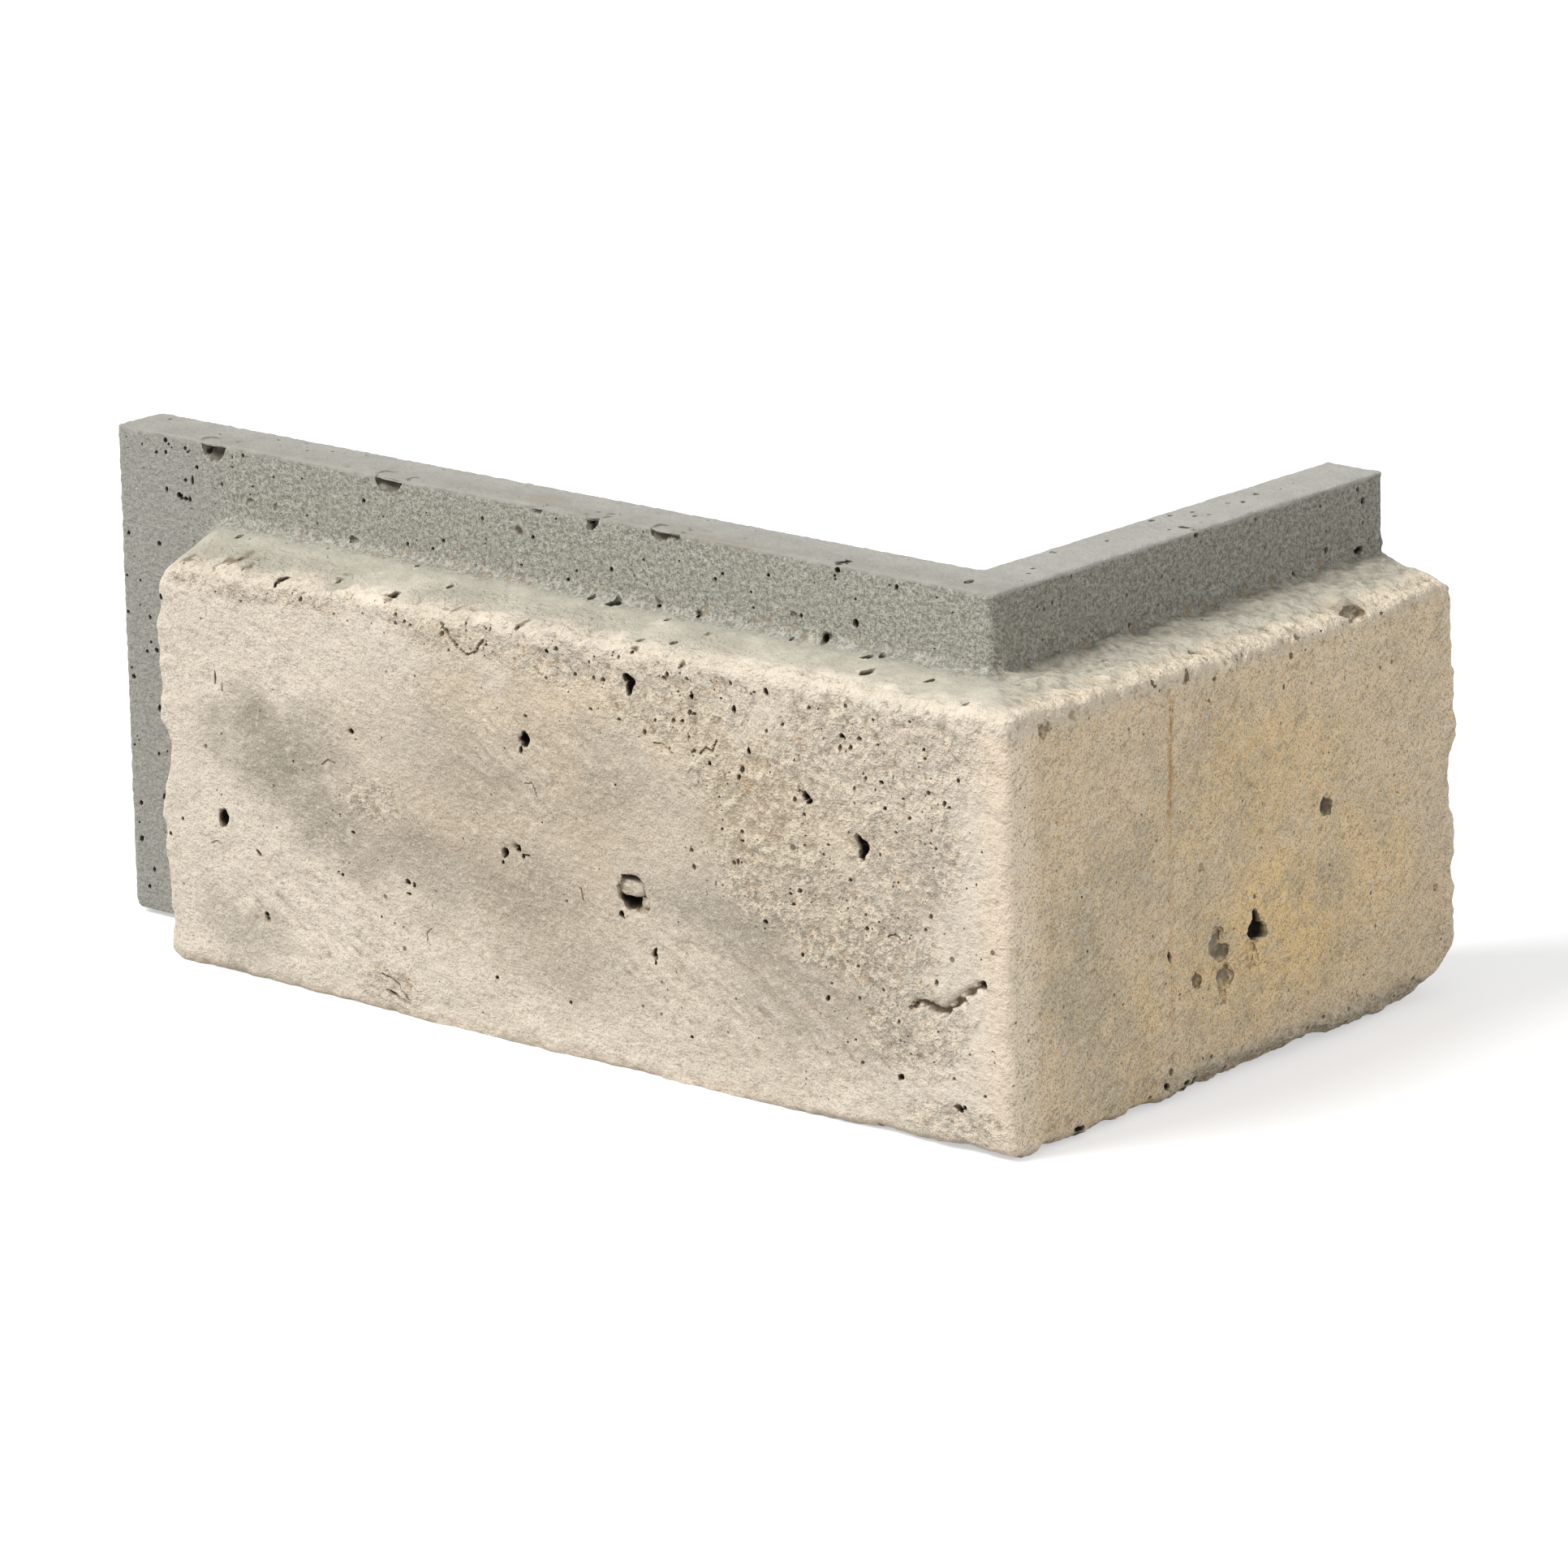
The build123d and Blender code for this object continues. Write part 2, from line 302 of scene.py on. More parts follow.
# Air voids, broken open: place along and up the face, width, height, depth, turn in degrees
long_voids = (
    (19.6, 24.2, 1.4, 1.4, 0.75, 0),
    (16.0, 21.4, 1.5, 1.7, 0.6, 30),
    (12.8, 19.1, 1.8, 1.3, 0.55, 0),
    (8.6, 19.7, 1.7, 1.2, 0.5, 0),
    (-45.3, 25.6, 4.6, 4.6, 2.8, 0),
    (-45.2, 27.4, 4.8, 1.6, 2.4, 6),
    (-47.0, 22.3, 1.2, 1.2, 1.6, 0),
    (-65.0, 45.0, 2.1, 2.3, 2.2, 0),
    (-65.6, 43.3, 0.8, 1.2, 1.0, 0),
    (-125.5, 23.0, 2.0, 2.9, 2.0, 10),
    (-45.0, 57.4, 1.7, 1.4, 1.8, 0),
    (-44.6, 56.2, 1.2, 2.8, 1.6, 8),
    (-59.9, 58.9, 0.9, 0.8, 0.9, 0),
    (-19.1, 59.5, 0.9, 1.3, 1.0, 0),
    (-24.9, 56.1, 1.0, 1.4, 1.1, 15),
    (-19.9, 63.9, 1.5, 1.5, 1.6, 45),
    (-51.0, 63.9, 1.0, 0.6, 0.9, 0),
    (-43.4, 63.6, 0.8, 0.5, 0.8, 0),
    (-26.1, 66.4, 1.6, 1.2, 0.5, 20),
    (-14.6, 67.0, 1.2, 1.5, 1.0, 0),
    (-17.8, 74.2, 1.2, 0.9, 0.9, 0),
    (-30.6, 71.5, 0.7, 0.6, 0.8, 0),
    (-39.2, 70.4, 0.7, 0.6, 0.8, 0),
    (-68.7, 65.0, 0.8, 0.6, 0.8, 0),
    (-113.8, 60.0, 0.8, 0.8, 1.0, 0),
    (-146.6, 66.0, 1.0, 0.9, 1.1, 0),
    (-149.1, 74.0, 0.9, 0.9, 1.0, 0),
    (-149.1, 72.2, 0.7, 0.7, 0.9, 0),
    (-142.7, 70.8, 0.9, 0.7, 0.9, 0),
    (-143.7, 68.7, 0.6, 1.5, 1.0, 0),
    (-152.5, 41.1, 0.9, 0.9, 1.0, 0),
    (-153.7, 42.2, 0.6, 0.6, 0.8, 0),
    (-137.0, 54.8, 1.0, 1.1, 1.1, 0),
    (-157.6, 36.2, 0.9, 0.9, 0.9, 0),
    (-126.6, 67.1, 0.9, 1.4, 0.4, 0),
    (-131.8, 67.2, 1.8, 1.1, 0.45, 0),
    (-110.9, 64.5, 2.0, 1.2, 0.5, 0),
    (-77.9, 70.7, 1.8, 1.4, 0.6, 30),
    (-2.4, 41.0, 1.2, 2.2, 1.6, -25),
    (-2.0, 39.2, 1.5, 2.2, 1.5, 20),
    (-12.2, 45.8, 1.1, 1.7, 1.5, 15),
    (-11.4, 45.0, 1.6, 0.8, 1.1, -20),
    (-69.0, 27.5, 1.4, 1.7, 1.3, 25),
    (-69.3, 26.1, 0.7, 0.7, 0.8, 0),
    (-66.4, 28.6, 1.4, 1.3, 1.2, 0),
    (-65.4, 27.6, 0.8, 0.9, 0.8, 0),
    (-64.6, 27.9, 1.4, 0.4, 0.5, 0),
    (-41.0, 17.6, 0.8, 1.7, 1.2, 20),
    (-40.6, 16.2, 0.7, 0.7, 0.9, 0),
    (-99.0, 40.5, 1.1, 1.0, 1.1, 0),
    (-98.0, 39.5, 0.4, 0.4, 0.5, 0),
    (-99.0, 25.3, 0.9, 0.6, 0.9, 0),
    (-101.6, 18.4, 0.9, 0.6, 0.9, -25),
    (-102.4, 18.7, 0.7, 0.3, 0.6, -25),
    (-117.5, 9.4, 1.0, 1.0, 1.1, 0),
    (-134.0, 21.3, 0.6, 0.7, 0.8, 0),
    (-136.6, 18.6, 0.9, 0.8, 0.7, 0),
    (-88.6, 19.6, 1.2, 1.1, 1.0, 0),
    (-87.2, 19.4, 0.7, 1.0, 0.8, 0),
    (-88.2, 17.9, 1.1, 0.5, 0.7, 0),
    (-57.0, 7.3, 0.7, 0.7, 0.8, 0),
    (-34.0, 6.5, 0.8, 0.6, 0.7, 0),
    (-71.0, 8.5, 0.8, 0.6, 0.7, 0),
    (-19.5, 26.2, 0.9, 0.8, 1.0, 0),
    (-13.0, 22.5, 0.7, 0.8, 0.8, 0),
    (4.5, 8.0, 1.2, 1.0, 0.8, 0),
    (15.0, 5.5, 2.0, 1.3, 0.8, 10),
    (16.0, 5.8, 0.8, 0.8, 1.0, 0),
    (-92.0, 2.2, 3.0, 0.6, 0.8, 8),
    (-126.2, 44.2, 0.5, 2.2, 0.5, 0),
    (-124.8, 43.0, 0.4, 1.6, 0.4, 0),
    (-118.4, 18.8, 1.6, 0.7, 0.7, 40),
    (-29.5, 47.5, 0.9, 0.8, 0.9, 0),
    (-22.0, 50.6, 0.7, 1.1, 1.0, -20),
    (-33.0, 56.6, 0.9, 1.2, 1.0, 30),
    (-5.6, 55.4, 0.9, 0.8, 0.9, 0),
    (1.8, 50.0, 0.9, 0.7, 0.8, 0),
    (2.4, 46.4, 0.7, 0.7, 0.8, 0),
    (9.5, 56.0, 0.7, 0.6, 0.7, 0),
    (15.6, 52.6, 0.8, 0.7, 0.7, 20),
    (-8.6, 17.0, 0.8, 1.1, 0.7, 25),
)
short_voids = (
    (30.3, 21.2, 2.2, 3.6, 2.6, 0),
    (30.6, 19.7, 4.6, 2.8, 2.6, 0),
    (28.8, 16.6, 4.0, 4.4, 0.6, 10),
    (46.8, 34.3, 3.0, 3.2, 1.3, 0),
    (21.2, 20.4, 3.2, 4.4, 1.0, 30),
    (22.6, 18.4, 3.6, 3.0, 1.0, -10),
    (16.6, 15.8, 3.2, 2.8, 1.0, 15),
    (23.4, 14.8, 3.8, 3.4, 1.0, 0),
    (22.8, 12.2, 1.8, 3.2, 0.8, 5),
    (10.6, 20.6, 0.8, 2.0, 1.0, -20),
    (74.5, 71.4, 1.0, 1.2, 1.0, 0),
    (73.2, 73.4, 0.8, 0.8, 0.9, 0),
    (73.0, 64.4, 2.0, 1.3, 1.4, 0),
    (65.7, 65.8, 0.8, 1.0, 0.9, 0),
    (57.6, 64.0, 1.0, 0.8, 0.9, 0),
    (20.2, 64.2, 0.9, 0.8, 0.9, 0),
    (35.4, 74.2, 1.0, 0.8, 0.9, 0),
    (-16.6, 59.6, 2.4, 2.8, 0.9, 0),
    (40.4, 60.6, 1.6, 1.6, 0.7, 0),
    (9.6, 1.9, 1.4, 1.2, 1.2, 0),
    (17.5, 32.0, 1.2, 1.7, 0.4, 0),
    (73.0, 16.0, 1.2, 1.4, 0.5, 0),
    (30.2, 24.8, 0.8, 0.9, 0.4, 0),
    (37.0, 54.0, 0.7, 1.0, 0.8, 0),
    (-9.0, 34.0, 0.5, 0.5, 0.7, 0),
    (-8.0, 26.0, 0.5, 0.5, 0.7, 0),
    (14.0, 1.4, 1.4, 1.0, 1.0, 0),
    (16.5, 1.2, 1.2, 0.9, 0.9, 0),
    (-10.0, 0.8, 2.2, 1.0, 1.2, 0),
    (14.6, 60.2, 1.6, 2.2, 0.7, 20),
    (54.5, 60.8, 4.0, 3.0, 1.3, -25),
)
# Shoulder and slab top, seen from above: x, y, length, width, depth, turn
top_voids = (
    (-96.1, -12.3, 0.8, 1.2, 0.9, 0),
    (-92.2, -21.5, 1.8, 2.6, 1.6, 0),
    (-131.0, -13.4, 1.2, 1.6, 1.0, 0),
    (-86.2, -16.1, 1.1, 1.8, 1.1, 0),
    (-63.2, -11.2, 1.2, 1.8, 1.2, 0),
    (-58.6, -11.4, 2.4, 2.8, 1.8, 12),
    (-46.7, -13.5, 0.9, 1.5, 1.0, 0),
    (-45.4, -20.8, 1.0, 1.8, 1.0, 0),
    (-40.1, -19.7, 1.1, 1.8, 1.0, 0),
    (-37.9, -14.8, 1.1, 1.8, 0.5, 0),
    (-25.3, -11.4, 0.8, 1.2, 0.9, 0),
    (-10.7, -12.4, 1.5, 2.2, 1.2, 20),
    (-9.0, -11.2, 1.1, 1.6, 1.1, -20),
    (-6.2, -17.8, 1.8, 3.0, 1.8, 0),
    (3.8, -16.2, 1.3, 2.2, 1.4, 0),
    (15.0, -22.0, 0.9, 1.4, 1.0, 0),
    (20.4, 21.1, 1.0, 1.5, 1.1, 30),
    (16.3, 6.5, 0.8, 0.9, 0.8, 0),
    (3.0, -6.4, 1.4, 1.9, 1.2, 0),
    (6.7, 2.1, 0.7, 0.9, 0.8, 0),
    (5.5, 4.6, 0.8, 1.0, 0.9, 0),
    (3.9, 22.9, 0.7, 0.9, 0.8, 0),
    (1.7, 35.8, 1.1, 1.3, 1.0, 0),
    (1.9, 39.8, 0.8, 1.0, 0.8, 0),
    (6.9, 33.2, 0.6, 0.8, 0.8, 0),
    (5.0, 41.6, 0.8, 1.0, 0.8, 0),
    (6.1, 43.5, 0.8, 0.9, 0.8, 0),
    (4.1, 50.4, 0.8, 1.0, 0.8, 0),
    (5.4, 52.3, 0.8, 1.0, 0.8, 0),
    (4.1, 57.0, 1.1, 1.2, 1.0, 0),
)
# Chips out of the slab's top edge: x, length, drop, how far back
edge_chips = (
    (-139.0, 4.6, 3.0, 2.2),
    (-140.6, 2.0, 2.2, 2.0),
    (-103.8, 5.0, 2.4, 2.2),
    (-101.8, 2.0, 1.8, 2.2),
    (-74.5, 1.8, 1.2, 1.2),
    (-64.0, 2.6, 2.2, 1.5),
    (-50.4, 5.0, 1.8, 1.6),
    (-48.0, 2.0, 1.2, 1.6),
)
# Cracks, gouges and broken blisters as paths over a face: width, depth, and their points
long_paths = (
    (0.8, 0.5, ((6.6, 18.6), (9.5, 19.7), (12.5, 18.8), (14.6, 20.8), (17.0, 22.6))),
    (0.6, 0.6, ((-80.6, 59.8), (-78.6, 58.0), (-75.6, 55.8), (-73.6, 56.6), (-72.0, 58.8))),
    (0.35, 0.35, ((-64.6, 38.6), (-63.4, 38.8), (-62.6, 37.8), (-62.4, 36.8))),
    (0.35, 0.35, ((-84.0, 13.4), (-84.9, 12.6), (-84.8, 11.4), (-84.0, 10.8))),
    (0.4, 0.4, ((-128.2, 18.6), (-127.0, 19.2), (-126.0, 18.8))),
    (0.4, 0.4, ((-104.8, 34.6), (-103.6, 35.6), (-102.2, 35.2))),
    (0.4, 0.5, ((-94.4, 4.6), (-91.6, 4.4), (-89.4, 2.4), (-88.4, 1.0))),
    (0.4, 0.4, ((-40.2, 48.6), (-38.4, 48.8), (-36.4, 47.6))),
    (0.5, 0.5, ((-31.6, 48.4), (-30.4, 49.6), (-29.2, 49.2), (-28.2, 51.2))),
    (0.4, 0.4, ((-13.4, 46.8), (-11.0, 44.6))),
    (0.4, 0.4, ((2.4, 28.0), (4.0, 28.6), (5.2, 27.8))),
    (0.35, 0.35, ((-54.6, 24.8), (-54.2, 22.8))),
)
short_paths = (
    (0.25, 0.2, ((10.8, 57.0), (11.2, 52.0), (10.9, 47.0), (11.1, 42.0))),
)

random.seed(7)
skin = BVHTree.FromObject(slip, bpy.context.evaluated_depsgraph_get())
far_off = 200
skin_depth = 0.4
void_depth = 6
cutters = []
mouths = []


def mouth(view, along, up):
    """Where a look in at the face, at that place, meets the skin, or the face over a void."""
    across, way, upward = views[view]
    start = across * along + upward * up - way * far_off
    place = skin.ray_cast(start * mm, way)[0] / mm
    sunk = place.dot(way) + brick_front
    if skin_depth < sunk < void_depth and 3 < up < 60:
        place -= way * (sunk - skin_depth)
    return place


def lumpy_ball(fine, lumpy):
    """A ball 1 across with lumps, to be copied for the voids."""
    bpy.ops.mesh.primitive_ico_sphere_add(subdivisions=fine, radius=0.5)
    ball = bpy.context.object
    drift = Vector([random.uniform(-50, 50) for _ in "xyz"])
    for vertex in ball.data.vertices:
        lump = noise.noise(vertex.co * 2.5 + drift) + 0.5 * noise.noise(vertex.co * 6 + drift)
        vertex.co *= 1 + lumpy * lump
    return ball


bpy.ops.object.select_all(action="DESELECT")
balls = {
    "pinhole": [lumpy_ball(1, 0.25) for _ in range(6)],
    "pit": [lumpy_ball(2, 0.4) for _ in range(6)],
    "void": [lumpy_ball(3, 0.45) for _ in range(6)],
}


def cut_void(view, centre, wide, tall, deep, turn=0.0, kind="pit", painted_shade=1.0):
    """Adds a lumpy ball to what will be cut away, and notes the painted shade of its void. Its sizes are
    those of the void's mouth.
    """
    model = random.choice(balls[kind])
    ball = bpy.data.objects.new("void", model.data.copy())
    bpy.context.scene.collection.objects.link(ball)
    across, way, upward = views[view]
    turned = Matrix((across, way, upward)).transposed().to_4x4()
    turned = turned @ Matrix.Rotation(np.radians(turn), 4, "Y")
    sized = Matrix.Diagonal((wide, 2 * deep, tall, 1))
    ball.data.transform(Matrix.Scale(mm, 4) @ Matrix.Translation(centre) @ turned @ sized)
    cutters.append(ball)
    mouths.append((centre, way, max(wide, tall) / 2, painted_shade))


# How much painted shade the floors of grooves, chips and shallow voids get, where a deep void's is 1,
# and the widest void that is cut as a pit, with a coarser ball
groove_painted_shade = 0.38
chip_painted_shade = 0.34
shallow_painted_shade = 0.2
largest_pit = 1.8


def cut_path(view, wide, deep, points):
    """Cuts a ragged groove along the points of a path over the face."""
    for start, end in zip(points, points[1:]):
        start, end = Vector(start), Vector(end)
        steps = max(2, round((end - start).length / (0.4 * wide)))
        for step in range(steps):
            along, up = start.lerp(end, step / steps)
            along += random.uniform(-0.15, 0.15) * wide
            up += random.uniform(-0.15, 0.15) * wide
            size = wide * random.uniform(0.7, 1.2)
            deep_here = deep * random.uniform(0.7, 1.1)
            place = mouth(view, along, up)
            cut_void(view, place, size, size, deep_here, kind="pinhole", painted_shade=groove_painted_shade)


for view, voids_there in (("long", long_voids), ("short", short_voids), ("above", top_voids)):
    for along, up, wide, tall, deep, turn in voids_there:
        kind = "void" if max(wide, tall) > largest_pit else "pit"
        # Deep voids get the full painted shade, shallow ones less
        painted_shade = 1.0 if deep > 0.45 * min(wide, tall) else shallow_painted_shade
        cut_void(view, mouth(view, along, up), wide, tall, deep, turn, kind, painted_shade)
for along, length, drop, back in edge_chips:
    centre = Vector((along, -slab_front, slab_top - 0.2 * drop))
    cut_void("long", centre, 0.9 * length, 1.5 * drop, 0.7 * back, kind="void", painted_shade=chip_painted_shade)
for view, paths in (("long", long_paths), ("short", short_paths)):
    for wide, deep, points in paths:
        cut_path(view, wide, deep, points)


def pinholes(view, count, left, right, low, high, largest, painted_shade=1.0):
    """Scatters small voids over part of a face."""
    for _ in range(count):
        along, up = random.uniform(left, right), random.uniform(low, high)
        wide = 0.3 + (largest - 0.3) * random.random() ** 2
        tall = wide * random.uniform(0.7, 1.3)
        cut_void(view, mouth(view, along, up), wide, tall, 0.9 * wide, kind="pinhole", painted_shade=painted_shade)


pinholes("long", 70, -158, 8, 65.5, 74.6, 0.9)
pinholes("long", 70, -158.5, -140, 3, 74, 1.1)
pinholes("short", 34, -8, 78, 65.5, 74.5, 0.8)
pinholes("above", 30, -158, 9, -9, -1, 0.8)
pinholes("above", 16, 1, 9, 0, 78, 0.8)
pinholes("above", 12, -135, 20, -18, -11, 0.6)
pinholes("above", 12, 11, 21, -10, 76, 0.6)
pinholes("long", 60, -136, 22, 2, 58, 0.55)
pinholes("long", 150, -34, 14, 28, 60, 1.0, painted_shade=0.45)
pinholes("long", 50, -66, -30, 48, 61, 1.0, painted_shade=0.45)
pinholes("long", 60, -134, -60, 56, 61.5, 1.0, painted_shade=0.3)
pinholes("long", 40, -10, 22, 8, 30, 0.9, painted_shade=0.4)
pinholes("short", 24, -22, 76, 3, 58, 0.6)
pinholes("short", 30, -2, 76, 0.5, 4, 1.1, painted_shade=0.3)
pinholes("short", 30, -20, 76, 58, 61.5, 1.0, painted_shade=0.3)

for models in balls.values():
    for model in models:
        bpy.data.objects.remove(model)

# Balls that touch or nearly do are cut one after the other, in rounds, and the rest together
spread = 1.6
gap = 0.4
rounds = []
for ball, (centre, _, reach, _) in zip(cutters, mouths):
    for members in rounds:
        if all(
            (centre - other).length > spread * (reach + width) + gap for _, other, width in members
        ):
            members.append((ball, centre, reach))
            break
    else:
        rounds.append([(ball, centre, reach)])
for members in rounds:
    bpy.ops.object.select_all(action="DESELECT")
    for ball, _, _ in members:
        ball.select_set(True)
    bpy.context.view_layer.objects.active = members[0][0]
    if len(members) > 1:
        bpy.ops.object.join()
    voids = bpy.context.object
    bpy.ops.object.select_all(action="DESELECT")
    slip.select_set(True)
    bpy.context.view_layer.objects.active = slip
    finish_with("BOOLEAN", operation="DIFFERENCE", solver="MANIFOLD", object=voids)
    bpy.data.objects.remove(voids)

# Two pebbles that show in the biggest void of the long face, crumbs that stand in its crack and
# in the gouge, and the thin lip of the slab's top edge that still stands over each chip
grains = [
    (mouth("long", -46.1, 30.8) + Vector((0.2, 1.8, -4.6)), (5.0, 2.4, 2.6)),
    (mouth("long", -46.1, 30.8) + Vector((2.9, 2.3, -6.6)), (2.4, 2.2, 1.9)),
]
# Place along and up the long face, and width
crumbs_standing = (
    (8.2, 18.9, 0.9),
    (10.9, 20.0, 0.9),
    (12.2, 18.2, 0.8),
    (13.4, 20.3, 1.0),
    (14.3, 19.5, 0.7),
    (15.4, 22.0, 1.0),
    (16.6, 21.5, 0.9),
    (18.6, 22.8, 1.1),
    (17.8, 24.0, 0.9),
    (-80.2, 59.9, 0.9),
    (-78.3, 58.2, 0.8),
    (-76.6, 56.9, 0.8),
)
for along, up, wide in crumbs_standing:
    grains.append((mouth("long", along, up) + Vector((0, 0.58, 0)), (1.3 * wide, 1.2, wide)))
for along, length, _, _ in edge_chips:
    lip_place = Vector((along, 1.85 - slab_front, slab_top - 0.30))
    grains.append((lip_place, (length + 1.6, 3.6, 0.62)))
bpy.ops.object.select_all(action="DESELECT")
for centre, size in grains:
    bpy.ops.mesh.primitive_ico_sphere_add(subdivisions=3 if size[0] > 2 else 2, radius=0.5)
    stone = bpy.context.object
    for vertex in stone.data.vertices:
        vertex.co /= (2 * max(abs(part) for part in vertex.co)) ** 0.5
        vertex.co *= 1 + 0.25 * noise.noise(vertex.co * 3 + centre)
    stone_size = Matrix.Diagonal((*size, 1))
    stone.data.transform(Matrix.Scale(mm, 4) @ Matrix.Translation(centre) @ stone_size)
    bpy.ops.object.select_all(action="DESELECT")
    slip.select_set(True)
    bpy.context.view_layer.objects.active = slip
    finish_with("BOOLEAN", operation="UNION", solver="MANIFOLD", object=stone)
    bpy.data.objects.remove(stone)
bpy.ops.object.shade_smooth_by_angle(angle=np.radians(50))

# What the colours follow: painted shade, by how deep the skin lies in a void, how hollow it is, and where
# it crumbles
points = places(slip.data)
void_painted_shade = np.zeros(len(points), np.float32)
for centre, way, reach, painted_shade in mouths:
    from_mouth = points - np.array(centre, np.float32)
    depth = from_mouth @ np.array(way, np.float32)
    aside = (from_mouth**2).sum(axis=1) - depth**2
    near = (aside < (1.2 * reach + 0.2) ** 2) & (depth < 3)
    shade = painted_shade * np.clip((depth[near] - 0.1) / (0.25 + 0.35 * reach), 0, 1)
    void_painted_shade[near] = np.maximum(void_painted_shade[near], shade)
x, y, z = points.T
ahead = np.maximum(-slab_front - y, x - slab_front)
on_long = (-slab_front - y) >= (x - slab_front)
depth_in = brick_front - slab_front - ahead
# Under the mouths that came with the casting, the depth behind the face sets the painted shade
inside = (depth_in < 4) & (z > 5) & (z < 58) & (x > -134) & (y < 74)
inside &= np.where(on_long, x < 20, y > -20)
void_painted_shade[inside] = np.maximum(void_painted_shade[inside], 0.6 * np.clip((depth_in[inside] - 0.7) / 0.9, 0, 1))
# Stones, crumbs and lips keep little of the painted shade of the voids they stand in
stone_reach = 0.62
stone_painted_shade = 0.14
for centre, size in grains:
    from_stone = np.linalg.norm((points - np.array(centre)) / size, axis=1)
    void_painted_shade[from_stone < stone_reach] *= stone_painted_shade
# How far each vertex lies below the middle of its neighbours, which sets dirt and painted shade in hollows
# and wear and a painted highlight on high spots. The hidden back is plain.
ends = np.empty(len(slip.data.edges) * 2, np.int64)
slip.data.edges.foreach_get("vertices", ends)
ends = ends.reshape(-1, 2)
normals = np.empty(len(points) * 3, np.float32)
slip.data.vertices.foreach_get("normal", normals)
normals = normals.reshape(-1, 3)
count = np.bincount(ends.ravel(), minlength=len(points)).astype(np.float32)
around = np.zeros_like(points)
for axis in range(3):
    total = np.bincount(ends[:, 0], points[ends[:, 1], axis], len(points))
    total += np.bincount(ends[:, 1], points[ends[:, 0], axis], len(points))
    around[:, axis] = total / count
hollow = np.einsum("ij,ij->i", around - points, normals)
hollow[(ahead < -2) & (z < slab_top - 1)] = 0
rough = np.where(on_long, spots(x, z, rough_patches), 0)
crumbly_top = np.clip(1.5 - np.hypot(depth_in - 1, z - brick_top + 1) / 3, 0, 1)
crumbly_foot = np.clip(1.6 - z / 3, 0, 1) * np.clip((y - 4) / 8, 0, 1)
rough = np.maximum(rough, crumbly_top * np.where(on_long, np.clip(x / 60 + 1.9, 0, 0.8), 0.9))
rough = np.maximum(rough, np.where(on_long, 0, crumbly_foot)) * np.clip(ahead / 3 - 1, 0, 1)
for name, values in (("void", void_painted_shade), ("hollow", hollow), ("crumble", rough)):
    attribute = slip.data.attributes.new(name, "FLOAT", "POINT")
    attribute.data.foreach_set("value", values.astype(np.float32))


def put(tree, kind, inputs, **settings):
    """Adds a node, sets it, and fills or links its inputs."""
    node = tree.nodes.new(kind)
    for name, value in settings.items():
        setattr(node, name, value)
    for name, value in inputs.items():
        if isinstance(value, bpy.types.NodeSocket):
            tree.links.new(value, node.inputs[name])
        else:
            node.inputs[name].default_value = value
    return node


def maths(tree, operation, a, b=0.0, clamp=False):
    """A Math node's result."""
    return put(tree, "ShaderNodeMath", {0: a, 1: b}, operation=operation, use_clamp=clamp).outputs[0]


def sloped(tree, value, slope, start):
    """The start, plus the value times the slope."""
    inputs = {0: value, 1: slope, 2: start}
    return put(tree, "ShaderNodeMath", inputs, operation="MULTIPLY_ADD").outputs[0]


def ramp(tree, value, low, high):
    """0 below low, 1 above high, smooth between."""
    inputs = {"Value": value, "From Min": low, "From Max": high}
    return put(tree, "ShaderNodeMapRange", inputs, interpolation_type="SMOOTHSTEP").outputs[0]


def noisy(tree, place, scale, detail=2.0, roughness=0.5, stretch=None):
    """A noise value, its scale in cells per millimetre, stretched by a vector if given."""
    if stretch:
        stretched = put(tree, "ShaderNodeVectorMath", {0: place, 1: stretch}, operation="MULTIPLY")
        place = stretched.outputs[0]
    inputs = {"Vector": place, "Scale": scale, "Detail": detail, "Roughness": roughness}
    return put(tree, "ShaderNodeTexNoise", inputs).outputs["Fac"]


def colour_mix(tree, factor, a, b, mode="MIX"):
    """Colour a turned towards colour b by the factor."""
    colours = {}
    for slot, colour in ((6, a), (7, b)):
        colours[slot] = (*colour, 1) if isinstance(colour, tuple) else colour
    node = put(tree, "ShaderNodeMix", {0: factor, **colours}, data_type="RGBA", blend_type=mode)
    return node.outputs[2]


soft_patch = bpy.data.node_groups.new("soft patch", "ShaderNodeTree")
for name in ("Place", "Centre", "Reach"):
    soft_patch.interface.new_socket(name, in_out="INPUT", socket_type="NodeSocketVector")
soft_patch.interface.new_socket("Mask", in_out="OUTPUT", socket_type="NodeSocketFloat")
patch_in = soft_patch.nodes.new("NodeGroupInput").outputs
patch_out = soft_patch.nodes.new("NodeGroupOutput").inputs
from_centre = put(
    soft_patch,
    "ShaderNodeVectorMath",
    {0: patch_in["Place"], 1: patch_in["Centre"]},
    operation="SUBTRACT",
)
in_reaches = put(
    soft_patch,
    "ShaderNodeVectorMath",
    {0: from_centre.outputs[0], 1: patch_in["Reach"]},
    operation="DIVIDE",
)
far_out = put(soft_patch, "ShaderNodeVectorMath", {0: in_reaches.outputs[0]}, operation="LENGTH")
patch_mask = ramp(soft_patch, far_out.outputs["Value"], 1.0, 0.25)
soft_patch.links.new(patch_mask, patch_out["Mask"])

